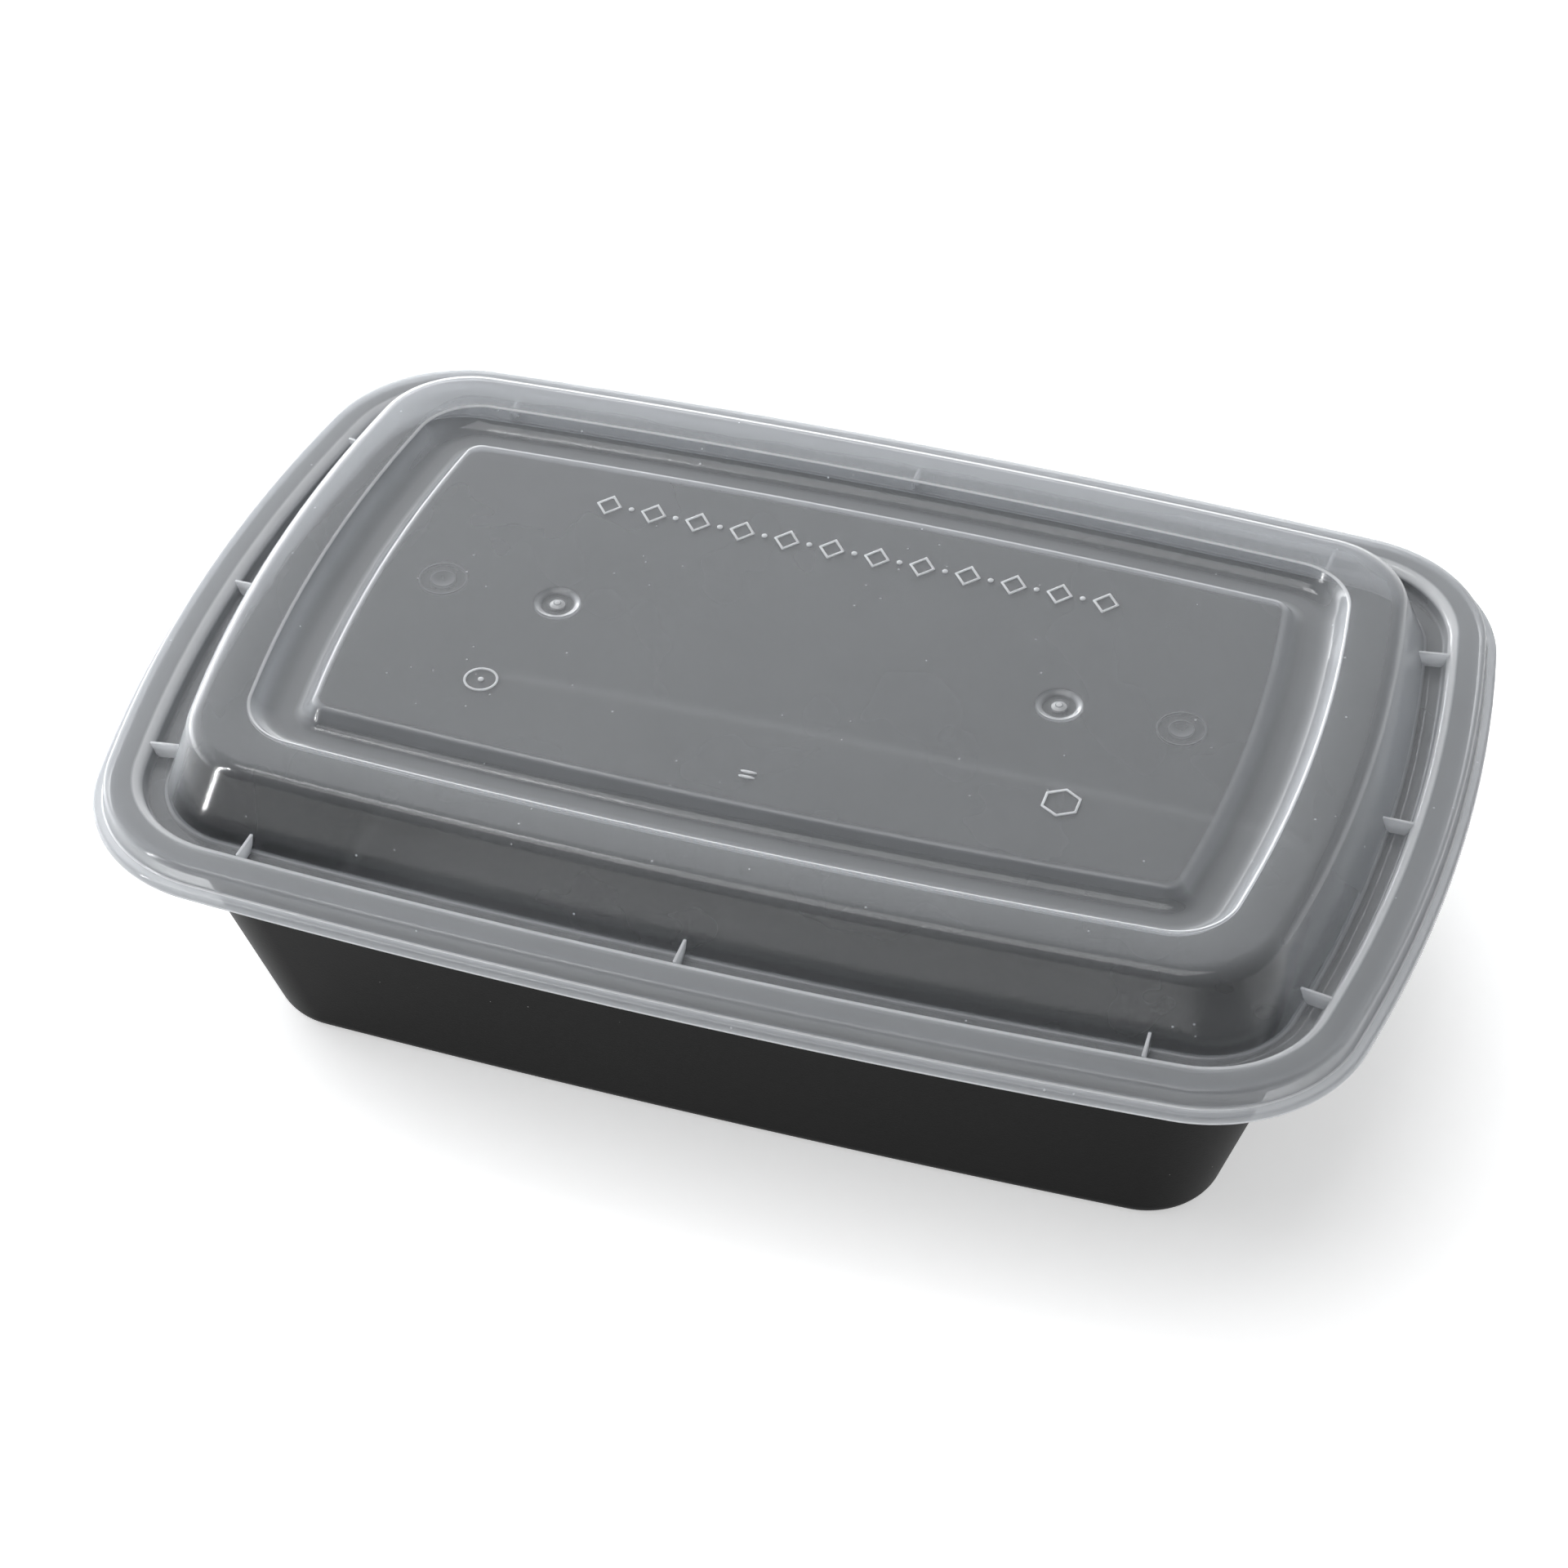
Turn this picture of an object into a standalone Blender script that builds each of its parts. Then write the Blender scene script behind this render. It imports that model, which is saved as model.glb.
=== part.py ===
"""Takeaway meal container: a deep black tray with a translucent domed lid snapped on.

Metres, +Z up. X runs along the container and Y across it. The origin is the middle of the
underside. The container is the same on both sides of X = 0 and of Y = 0.
"""

import math

import bmesh
import bpy
import numpy as np
from mathutils import Matrix, Vector

MM = 0.001
NAME = "takeaway_meal_container"

# Outline of the lid at its lower edge. Every side is a slightly bowed arc.
HALF_LENGTH = 111.0 * MM
HALF_WIDTH = 74.0 * MM
CORNER = 27.3 * MM
END_BOW = 9.9 * MM
SIDE_BOW = 4.5 * MM
END_STEPS = 3
CORNER_STEPS = 6
SIDE_STEPS = 3

# Heights above the table.
TOTAL_HEIGHT = 63.5 * MM
PANEL_HEIGHT = 63.0 * MM
CHANNEL_HEIGHT = 60.0 * MM
RIM_HEIGHT = 53.3 * MM
MOAT_HEIGHT = 50.3 * MM
LIP_HEIGHT = 49.9 * MM
LID_EDGE_HEIGHT = 48.3 * MM

# Distances inwards from the outline of the lid's lower edge, measured on the upper surface.
LIP_WIDTH = 1.7 * MM
RIM_OUTER_INSET = 2.1 * MM
RIM_INNER_INSET = 8.1 * MM
MOAT_OUTER_INSET = 8.95 * MM
DOME_FOOT_INSET = 12.25 * MM
SHOULDER_INSET = 16.3 * MM
SHOULDER_INNER_INSET = 25.4 * MM
CHANNEL_OUTER_INSET = 27.6 * MM
CHANNEL_INNER_INSET = 33.6 * MM
PANEL_INSET = 35.5 * MM

# Corner radii in plan. The dome's corners stay rounder than an even inset would leave them.
DOME_FOOT_CORNER = 15.0 * MM
SHOULDER_CORNER = 15.8 * MM
SHOULDER_INNER_CORNER = 10.7 * MM
CHANNEL_OUTER_CORNER = 8.6 * MM
CHANNEL_INNER_CORNER = 4.4 * MM
PANEL_CORNER = 2.6 * MM

# How far each fold of the lid is rounded off, measured along the two walls that meet there.
LIP_CUT = 0.6 * MM
STEP_CUT = 0.3 * MM
RIM_OUTER_CUT = 0.9 * MM
RIM_INNER_CUT = 0.6 * MM
MOAT_CUT = 0.5 * MM
DOME_FOOT_CUT = 0.8 * MM
SHOULDER_CUT = 2.2 * MM
SHOULDER_INNER_CUT = 0.8 * MM
CHANNEL_CUT = 1.8 * MM
PANEL_CUT = 0.5 * MM
PANEL_MARGIN = 2.0 * MM

LID_WALL = 0.5 * MM
TRAY_WALL = 0.7 * MM
FIT_GAP = 0.3 * MM
SMOOTH_ANGLE = math.radians(35.0)

# Gussets that bridge the moat, three on each side of the lid.
RIB_THICKNESS = 0.8 * MM
RIB_DROP = 0.3 * MM
RIB_BITE = 0.25 * MM
RIB_FOOT = 0.8 * MM
SIDE_RIB_X = 75.0 * MM
END_RIB_Y = 43.0 * MM

# Round moulding recesses in the panel, each with a nub left by the injection gate.
RECESS_X = 43.5 * MM
RECESS_RADIUS = 3.8 * MM
RECESS_FLOOR_RADIUS = 3.2 * MM
RECESS_DEPTH = 0.7 * MM
NUB_RADIUS = 0.9 * MM
NUB_TIP_RADIUS = 0.6 * MM
NUB_HEIGHT = 0.5 * MM
ROUND_SIDES = 24

# Tray, described by its inner surface.
TRAY_LIP_INSET = 3.1 * MM
TRAY_LIP_DROP = 1.6 * MM
NECK_INSET = 7.2 * MM
LEDGE_OUTER_INSET = 7.7 * MM
LEDGE_INNER_INSET = 11.1 * MM
FLOOR_HALF_LENGTH = 83.5 * MM
FLOOR_HALF_WIDTH = 49.0 * MM
FLOOR_CORNER = 10.5 * MM
FLOOR_END_BOW = 3.6 * MM
FLOOR_SIDE_BOW = 1.6 * MM
FLOOR_MARGIN = 5.0 * MM
TRAY_LIP_CUT = 0.8 * MM
NECK_CUT = 0.7 * MM
LEDGE_OUTER_CUT = 0.4 * MM
LEDGE_INNER_CUT = 0.8 * MM
FLOOR_CUT = 3.6 * MM


def clear_scene():
    for obj in list(bpy.data.objects):
        bpy.data.objects.remove(obj, do_unlink=True)


def new_collection(name):
    collection = bpy.data.collections.new(name)
    bpy.context.scene.collection.children.link(collection)
    return collection


def arc_radius(half_chord, bow):
    """Radius of an arc that rises by bow over a chord of twice half_chord."""
    return (half_chord**2 + bow**2) / (2.0 * bow)


END_RADIUS = arc_radius(HALF_WIDTH, END_BOW)
SIDE_RADIUS = arc_radius(HALF_LENGTH, SIDE_BOW)


def inset_station(inset, height, corner):
    """One ring of a shell: its half sizes, corner radius, end and side radii, and height."""
    return np.array(
        [
            HALF_LENGTH - inset,
            HALF_WIDTH - inset,
            corner,
            END_RADIUS - inset,
            SIDE_RADIUS - inset,
            height,
        ]
    )


def corner_centre(half_length, half_width, corner, end_radius, side_radius):
    """Centre of the corner arc, which touches the end arc and the side arc from inside."""
    end_centre = Vector((half_length - end_radius, 0.0))
    side_centre = Vector((0.0, half_width - side_radius))
    across = side_centre - end_centre
    gap = across.length
    from_end = end_radius - corner
    from_side = side_radius - corner
    along = (from_end**2 - from_side**2 + gap**2) / (2.0 * gap)
    off = math.sqrt(from_end**2 - along**2)
    unit = across / gap
    return end_centre + unit * along + Vector((-unit.y, unit.x)) * off


def arc_points(centre, radius, start, end, steps):
    """Points along an arc, without the last one, which starts the next arc."""
    turns = [start + (end - start) * step / steps for step in range(steps)]
    return [(centre[0] + radius * math.cos(turn), centre[1] + radius * math.sin(turn)) for turn in turns]


def outline(station):
    """The closed outline of one ring, counter-clockwise from the middle of the +X end."""
    half_length, half_width, corner, end_radius, side_radius, height = station
    centre = corner_centre(half_length, half_width, corner, end_radius, side_radius)
    end_centre = (half_length - end_radius, 0.0)
    side_centre = (0.0, half_width - side_radius)
    first = math.atan2(centre.y - end_centre[1], centre.x - end_centre[0])
    second = math.atan2(centre.y - side_centre[1], centre.x - side_centre[0])
    quarter = arc_points(end_centre, end_radius, 0.0, first, END_STEPS)
    quarter += arc_points(centre, corner, first, second, CORNER_STEPS)
    quarter += arc_points(side_centre, side_radius, second, math.pi / 2, SIDE_STEPS)
    top = (0.0, half_width)
    end = (half_length, 0.0)
    second_quarter = [(-x, y) for x, y in reversed(quarter[1:] + [top])]
    half = quarter + second_quarter + [(-end[0], 0.0)]
    other_half = [(x, -y) for x, y in reversed(half[1:-1])]
    return [Vector((x, y, height)) for x, y in half + other_half]


def rounded(corners):
    """Rings of a profile whose corners, (station, cut, steps), are each rounded off."""
    rings = [corners[0][0]]
    for before, corner, after in zip(corners, corners[1:], corners[2:]):
        station, cut, steps = corner
        start = station + (before[0] - station) * cut / profile_length(station, before[0])
        end = station + (after[0] - station) * cut / profile_length(station, after[0])
        for step in range(steps + 1):
            part = step / steps
            rings.append((1 - part) ** 2 * start + 2 * part * (1 - part) * station + part**2 * end)
    return rings


def profile_length(first, second):
    """Distance between two stations as the profile shows it: sideways and in height."""
    return math.hypot(first[0] - second[0], first[5] - second[5])


def shell_mesh(name, rings):
    """An open sheet lofted through the rings, closed over by a flat face at the last one."""
    bm = bmesh.new()
    loops = [[bm.verts.new(point) for point in outline(ring)] for ring in rings]
    for lower, upper in zip(loops, loops[1:]):
        for i in range(len(lower)):
            bm.faces.new((lower[i - 1], lower[i], upper[i], upper[i - 1]))
    cap = bm.faces.new(loops[-1])
    bmesh.ops.recalc_face_normals(bm, faces=bm.faces)
    if cap.normal.z < 0.0:
        bmesh.ops.reverse_faces(bm, faces=bm.faces)
    mesh = bpy.data.meshes.new(name)
    bm.to_mesh(mesh)
    bm.free()
    return mesh


def plastic(name, colour, roughness, alpha):
    material = bpy.data.materials.new(name)
    material.use_nodes = True
    shader = material.node_tree.nodes["Principled BSDF"]
    shader.inputs["Base Color"].default_value = (*colour, 1.0)
    shader.inputs["Metallic"].default_value = 0.0
    shader.inputs["Roughness"].default_value = roughness
    shader.inputs["Alpha"].default_value = alpha
    return material


def add_shell(name, rings, wall, material, collection):
    """A moulded sheet of even thickness, whose upper surface runs through the rings."""
    mesh = shell_mesh(name, rings)
    mesh.materials.append(material)
    mesh.shade_smooth()
    mesh.set_sharp_from_angle(angle=SMOOTH_ANGLE)
    obj = bpy.data.objects.new(name, mesh)
    collection.objects.link(obj)
    solidify = obj.modifiers.new("Wall", "SOLIDIFY")
    solidify.thickness = wall
    solidify.offset = -1.0
    solidify.use_even_offset = True
    return obj


def lid_rings():
    corners = [
        (inset_station(0.0, LID_EDGE_HEIGHT, CORNER), 0.0, 1),
        (inset_station(0.0, LIP_HEIGHT, CORNER), LIP_CUT, 2),
        (inset_station(LIP_WIDTH, LIP_HEIGHT, CORNER - LIP_WIDTH), STEP_CUT, 1),
        (inset_station(RIM_OUTER_INSET, RIM_HEIGHT, CORNER - RIM_OUTER_INSET), RIM_OUTER_CUT, 2),
        (inset_station(RIM_INNER_INSET, RIM_HEIGHT, CORNER - RIM_INNER_INSET), RIM_INNER_CUT, 2),
        (inset_station(MOAT_OUTER_INSET, MOAT_HEIGHT, CORNER - MOAT_OUTER_INSET), MOAT_CUT, 1),
        (inset_station(DOME_FOOT_INSET, MOAT_HEIGHT, DOME_FOOT_CORNER), DOME_FOOT_CUT, 1),
        (inset_station(SHOULDER_INSET, TOTAL_HEIGHT, SHOULDER_CORNER), SHOULDER_CUT, 3),
        (inset_station(SHOULDER_INNER_INSET, TOTAL_HEIGHT, SHOULDER_INNER_CORNER), SHOULDER_INNER_CUT, 1),
        (inset_station(CHANNEL_OUTER_INSET, CHANNEL_HEIGHT, CHANNEL_OUTER_CORNER), CHANNEL_CUT, 2),
        (inset_station(CHANNEL_INNER_INSET, CHANNEL_HEIGHT, CHANNEL_INNER_CORNER), CHANNEL_CUT, 2),
        (inset_station(PANEL_INSET, PANEL_HEIGHT, PANEL_CORNER), PANEL_CUT, 1),
        (inset_station(PANEL_INSET + PANEL_MARGIN, PANEL_HEIGHT, PANEL_CORNER), 0.0, 1),
    ]
    return rounded(corners)


def tray_rings():
    flange = RIM_HEIGHT - LID_WALL - FIT_GAP
    ledge = MOAT_HEIGHT - LID_WALL - FIT_GAP
    floor = np.array(
        [
            FLOOR_HALF_LENGTH,
            FLOOR_HALF_WIDTH,
            FLOOR_CORNER,
            arc_radius(FLOOR_HALF_WIDTH, FLOOR_END_BOW),
            arc_radius(FLOOR_HALF_LENGTH, FLOOR_SIDE_BOW),
            TRAY_WALL,
        ]
    )
    inner_floor = floor.copy()
    inner_floor[:3] -= FLOOR_MARGIN
    corners = [
        (inset_station(TRAY_LIP_INSET, flange - TRAY_LIP_DROP, CORNER - TRAY_LIP_INSET), 0.0, 1),
        (inset_station(TRAY_LIP_INSET, flange, CORNER - TRAY_LIP_INSET), TRAY_LIP_CUT, 2),
        (inset_station(NECK_INSET, flange, CORNER - NECK_INSET), NECK_CUT, 2),
        (inset_station(LEDGE_OUTER_INSET, ledge, CORNER - LEDGE_OUTER_INSET), LEDGE_OUTER_CUT, 1),
        (inset_station(LEDGE_INNER_INSET, ledge, CORNER - LEDGE_INNER_INSET), LEDGE_INNER_CUT, 2),
        (floor, FLOOR_CUT, 4),
        (inner_floor, 0.0, 1),
    ]
    return rounded(corners)


def dome_wall(height):
    """Inset of the dome's sloping wall at a height."""
    rise = (height - MOAT_HEIGHT) / (TOTAL_HEIGHT - MOAT_HEIGHT)
    return DOME_FOOT_INSET + (SHOULDER_INSET - DOME_FOOT_INSET) * rise


def rim_wall(height):
    """Inset of the rim's inner wall at a height."""
    rise = (height - MOAT_HEIGHT) / (RIM_HEIGHT - MOAT_HEIGHT)
    return MOAT_OUTER_INSET + (RIM_INNER_INSET - MOAT_OUTER_INSET) * rise


def add_rib(arc_centre, edge_radius, turn, collection):
    """A gusset plate across the moat, from the rim to the dome, rooted in all three walls.

    Its lower corners are cut off where the walls fold into the moat's floor."""
    top = RIM_HEIGHT - RIB_DROP
    bottom = MOAT_HEIGHT - RIB_BITE
    foot = MOAT_HEIGHT + RIB_FOOT
    plate = [
        (rim_wall(top) - RIB_BITE, top),
        (rim_wall(foot) - RIB_BITE, foot),
        (MOAT_OUTER_INSET + MOAT_CUT, bottom),
        (DOME_FOOT_INSET - DOME_FOOT_CUT, bottom),
        (dome_wall(foot) + RIB_BITE, foot),
        (dome_wall(top) + RIB_BITE, top),
    ]
    bm = bmesh.new()
    side = [bm.verts.new((-RIB_THICKNESS / 2, edge_radius - inset, height)) for inset, height in plate]
    face = bm.faces.new(side)
    swept = bmesh.ops.extrude_face_region(bm, geom=[face])["geom"]
    far_side = [item for item in swept if isinstance(item, bmesh.types.BMVert)]
    bmesh.ops.translate(bm, verts=far_side, vec=Vector((RIB_THICKNESS, 0.0, 0.0)))
    bmesh.ops.rotate(bm, verts=bm.verts, matrix=Matrix.Rotation(turn, 3, "Z"))
    bmesh.ops.translate(bm, verts=bm.verts, vec=Vector((*arc_centre, 0.0)))
    return helper_object("rib", bm, collection)


def helper_object(name, bm, collection):
    bmesh.ops.recalc_face_normals(bm, faces=bm.faces)
    mesh = bpy.data.meshes.new(name)
    bm.to_mesh(mesh)
    bm.free()
    obj = bpy.data.objects.new(name, mesh)
    obj.hide_render = True
    obj.display_type = "WIRE"
    collection.objects.link(obj)
    return obj


def add_ribs(collection):
    """Three gussets on each of the four sides, square to the bowed rim."""
    side_centre = HALF_WIDTH - SIDE_RADIUS
    end_centre = HALF_LENGTH - END_RADIUS
    for place in (-SIDE_RIB_X, 0.0, SIDE_RIB_X):
        lean = math.asin(place / (SIDE_RADIUS - RIM_INNER_INSET))
        add_rib((0.0, side_centre), SIDE_RADIUS, -lean, collection)
        add_rib((0.0, -side_centre), SIDE_RADIUS, math.pi + lean, collection)
    for place in (-END_RIB_Y, 0.0, END_RIB_Y):
        lean = math.asin(place / (END_RADIUS - RIM_INNER_INSET))
        add_rib((end_centre, 0.0), END_RADIUS, -math.pi / 2 + lean, collection)
        add_rib((-end_centre, 0.0), END_RADIUS, math.pi / 2 - lean, collection)


def add_disc(name, x, bottom, top, bottom_radius, top_radius, collection):
    """A squat round body, standing on the panel's middle line at x."""
    bm = bmesh.new()
    bmesh.ops.create_cone(
        bm,
        cap_ends=True,
        segments=ROUND_SIDES,
        radius1=bottom_radius,
        radius2=top_radius,
        depth=top - bottom,
        matrix=Matrix.Translation((x, 0.0, (top + bottom) / 2)),
    )
    return helper_object(name, bm, collection)


def add_boolean(obj, name, operation, collection):
    boolean = obj.modifiers.new(name, "BOOLEAN")
    boolean.operation = operation
    boolean.operand_type = "COLLECTION"
    boolean.collection = collection
    boolean.solver = "EXACT"


def build_lid(collection):
    material = plastic("translucent_polypropylene", (0.80, 0.82, 0.84), 0.22, 0.45)
    lid = add_shell("lid", lid_rings(), LID_WALL, material, collection)
    backing = new_collection("lid backing and ribs")
    recesses = new_collection("lid recess cutters")
    nubs = new_collection("lid gate nubs")
    add_ribs(backing)
    panel_underside = PANEL_HEIGHT - LID_WALL
    recess_floor = PANEL_HEIGHT - RECESS_DEPTH
    for x in (-RECESS_X, RECESS_X):
        add_disc(
            "recess_backing",
            x,
            recess_floor - LID_WALL,
            panel_underside + LID_WALL / 2,
            RECESS_FLOOR_RADIUS + LID_WALL,
            RECESS_RADIUS + LID_WALL,
            backing,
        )
        add_disc(
            "recess_cutter",
            x,
            recess_floor,
            PANEL_HEIGHT + LID_WALL,
            RECESS_FLOOR_RADIUS,
            RECESS_RADIUS + (RECESS_RADIUS - RECESS_FLOOR_RADIUS) * LID_WALL / RECESS_DEPTH,
            recesses,
        )
        add_disc(
            "gate_nub",
            x,
            recess_floor - LID_WALL / 2,
            recess_floor + NUB_HEIGHT,
            NUB_RADIUS,
            NUB_TIP_RADIUS,
            nubs,
        )
    add_boolean(lid, "Ribs and backing", "UNION", backing)
    add_boolean(lid, "Recesses", "DIFFERENCE", recesses)
    add_boolean(lid, "Gate nubs", "UNION", nubs)
    return lid


def build_tray(collection):
    material = plastic("black_polypropylene", (0.018, 0.018, 0.019), 0.34, 1.0)
    return add_shell("tray", tray_rings(), TRAY_WALL, material, collection)


def main():
    clear_scene()
    container = new_collection(NAME)
    build_tray(container)
    build_lid(container)


main()
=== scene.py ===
"""Looks of a takeaway meal container: a black tray with a translucent domed lid on it."""

import math

import bmesh
import bpy
import numpy as np
from mathutils import Matrix, Vector


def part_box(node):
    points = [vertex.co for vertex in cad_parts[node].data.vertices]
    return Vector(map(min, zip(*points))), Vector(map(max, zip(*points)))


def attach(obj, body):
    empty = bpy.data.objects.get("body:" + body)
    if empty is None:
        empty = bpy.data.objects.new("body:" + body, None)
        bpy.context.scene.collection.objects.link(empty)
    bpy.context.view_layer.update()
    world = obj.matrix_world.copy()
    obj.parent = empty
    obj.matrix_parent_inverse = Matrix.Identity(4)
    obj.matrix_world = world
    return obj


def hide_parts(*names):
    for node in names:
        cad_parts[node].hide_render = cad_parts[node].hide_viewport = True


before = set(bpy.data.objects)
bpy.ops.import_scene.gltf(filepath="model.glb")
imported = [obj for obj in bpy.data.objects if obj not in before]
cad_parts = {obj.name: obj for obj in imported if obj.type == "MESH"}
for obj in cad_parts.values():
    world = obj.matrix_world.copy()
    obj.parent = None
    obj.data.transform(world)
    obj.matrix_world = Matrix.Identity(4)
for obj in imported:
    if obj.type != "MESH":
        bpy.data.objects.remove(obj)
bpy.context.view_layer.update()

MM = 0.001

# Sizes that the frame gives.
LID_LOW, LID_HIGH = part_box("lid")
TRAY_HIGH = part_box("tray")[1]
HALF_LENGTH = LID_HIGH.x
HALF_WIDTH = LID_HIGH.y
TOTAL_HEIGHT = LID_HIGH.z
LID_EDGE_HEIGHT = LID_LOW.z
FLANGE_HEIGHT = TRAY_HIGH.z

# Heights of the lid's levels, from its lower edge and from its top.
LIP_HEIGHT = LID_EDGE_HEIGHT + 1.6 * MM
MOAT_HEIGHT = LID_EDGE_HEIGHT + 2.0 * MM
RIM_HEIGHT = LID_EDGE_HEIGHT + 5.0 * MM
CHANNEL_HEIGHT = TOTAL_HEIGHT - 3.5 * MM
PANEL_HEIGHT = TOTAL_HEIGHT - 0.5 * MM
LEDGE_HEIGHT = FLANGE_HEIGHT - 3.0 * MM

# Outline of the lid's lower edge: four bowed sides and four round corners.
CORNER = 27.3 * MM
END_BOW = 9.9 * MM
SIDE_BOW = 4.5 * MM
END_STEPS = 8
CORNER_STEPS = 24
SIDE_STEPS = 12

# Distances inwards from that outline.
LIP_WIDTH = 1.7 * MM
RIM_OUTER_INSET = 2.1 * MM
RIM_INNER_INSET = 8.1 * MM
MOAT_OUTER_INSET = 8.95 * MM
DOME_FOOT_INSET = 12.25 * MM
SHOULDER_INSET = 16.3 * MM
SHOULDER_INNER_INSET = 25.4 * MM
CHANNEL_OUTER_INSET = 27.6 * MM
CHANNEL_INNER_INSET = 33.6 * MM
PANEL_INSET = 35.5 * MM

# Corner radii of the dome, which stay rounder than an even inset would leave them.
DOME_FOOT_CORNER = 15.0 * MM
SHOULDER_CORNER = 15.8 * MM
SHOULDER_INNER_CORNER = 10.7 * MM
CHANNEL_OUTER_CORNER = 8.6 * MM
CHANNEL_INNER_CORNER = 4.4 * MM
PANEL_CORNER = 2.6 * MM

# Height of the white band along the lower edge, where the plastic is thickest.
EDGE_BAND = 0.3 * MM

# How far each fold of the lid is rounded off along the two walls that meet there.
LIP_CUT = 0.6 * MM
STEP_CUT = 0.3 * MM
RIM_OUTER_CUT = 0.9 * MM
RIM_INNER_CUT = 1.6 * MM
MOAT_CUT = 0.35 * MM
DOME_FOOT_CUT = 0.45 * MM
SHOULDER_CUT = 2.2 * MM
SHOULDER_INNER_CUT = 0.4 * MM
CHANNEL_OUTER_CUT = 2.4 * MM
CHANNEL_INNER_CUT = 1.6 * MM
PANEL_CUT = 0.8 * MM
PANEL_MARGIN = 2.0 * MM

# How much milk the lid's plastic shows: near 0 in its clear walls, about 2 in its whitest lines.
EDGE_MILK = 2.2
LIP_MILK = 0.7
SKIRT_MILK = 0.5
RIM_MILK = 0.45
MOAT_MILK = 0.25
WALL_MILK = 0.05
FLAT_MILK = 0.22
CHANNEL_WALL_MILK = 0.35
CHANNEL_MILK = 0.33
PANEL_WALL_MILK = 0.7
NUB_MILK = 2.2
RIB_MILK = 1.5
MARK_MILK = 1.6

# How much more milk a fold shows at its middle than the flats beside it. Partly it is the plastic's
# own whitening where it is bent, partly a painted highlight: it whitens every fold evenly all round,
# in place of the light that gathers along the folds.
LIP_FOLD = 0.2
STEP_FOLD = 2.4
RIM_OUTER_FOLD = 0.3
RIM_INNER_FOLD = 2.3
MOAT_FOLD = 0.2
DOME_FOOT_FOLD = 0.7
SHOULDER_FOLD = 0.15
SHOULDER_INNER_FOLD = 1.9
PANEL_FOLD = 0.4
RECESS_FOLD = 0.8
PIN_FOLD = 0.1

LID_WALL = 0.5 * MM
TRAY_WALL = 0.7 * MM
CUT_EDGE = 0.07 * MM
CUT_ANGLE = math.radians(60.0)
SMOOTH_ANGLE = math.radians(38.0)

# Gussets across the moat.
RIB_THICKNESS = 0.55 * MM
RIB_DROP = 0.25 * MM
RIB_BITE = 0.2 * MM
RIB_FOOT = 0.8 * MM
RIB_EDGE = 0.1 * MM
SIDE_RIB_X = 75.0 * MM
END_RIB_Y = 43.0 * MM

# Round recesses in the panel, with the nub that the injection gate leaves.
ROUND_STEPS = 48
ROUND_MARGIN = 0.6 * MM
RECESS_X = 43.5 * MM
RECESS_RADIUS = 3.8 * MM
RECESS_FLOOR_RADIUS = 2.8 * MM
RECESS_DEPTH = 0.6 * MM
RECESS_TOP_SPREAD = 0.15 * MM
RECESS_FOOT_SPREAD = 0.1 * MM
NUB_RADIUS = 1.0 * MM
NUB_FOOT_SPREAD = 0.35 * MM
NUB_TIP_RADIUS = 0.6 * MM
NUB_HEIGHT = 0.45 * MM
NUB_CROWN = ((0.6, 0.03 * MM), (0.2, 0.05 * MM))

# Faint circles that the ejector pins leave.
PIN_X = 64.0 * MM
PIN_OUTER_RADIUS = 4.0 * MM
PIN_INNER_RADIUS = 2.0 * MM
PIN_RIDGE_WIDTH = 0.35 * MM
PIN_RIDGE_HEIGHT = 0.02 * MM

# Raised marks on the panel: a plain border of lozenges and studs, and three small plain signs.
MARK_HEIGHT = 0.16 * MM
MARK_STROKE = 0.42 * MM
MARK_BITE = 0.04 * MM
BORDER_Y = 27.0 * MM
BORDER_HALF = 44.0 * MM
BORDER_LOZENGES = 12
LOZENGE_HALF_LENGTH = 2.3 * MM
LOZENGE_HALF_WIDTH = 2.7 * MM
STUD_RADIUS = 0.5 * MM
RING_RADIUS = 2.9 * MM
RING_PLACE = (-48.5 * MM, -22.5 * MM, 0.0)
HEXAGON_RADIUS = 3.4 * MM
HEXAGON_PLACE = (50.3 * MM, -23.0 * MM, 0.0)
BAR_HALF_LENGTH = 1.4 * MM
BAR_HALF_WIDTH = 0.28 * MM
BAR_PLACES = ((0.7 * MM, -31.0 * MM, 0.0), (0.7 * MM, -32.2 * MM, 0.0))
MARK_EDGE = 0.05 * MM
MARK_ANGLE = math.radians(50.0)

# Tray, by its inner surface.
TRAY_LIP_INSET = 3.1 * MM
TRAY_LIP_DROP = 1.6 * MM
NECK_INSET = 7.2 * MM
LEDGE_OUTER_INSET = 7.7 * MM
LEDGE_INNER_INSET = 11.1 * MM
LEDGE_INNER_CORNER = 19.0 * MM
FLOOR_HALF_LENGTH = 83.5 * MM
FLOOR_HALF_WIDTH = 49.0 * MM
FLOOR_CORNER = 11.5 * MM
FLOOR_END_BOW = 3.6 * MM
FLOOR_SIDE_BOW = 1.6 * MM
FLOOR_MARGIN = 5.0 * MM
TRAY_LIP_CUT = 0.8 * MM
NECK_CUT = 0.7 * MM
LEDGE_OUTER_CUT = 0.4 * MM
LEDGE_INNER_CUT = 0.8 * MM
FLOOR_CUT = 2.9 * MM

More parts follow.
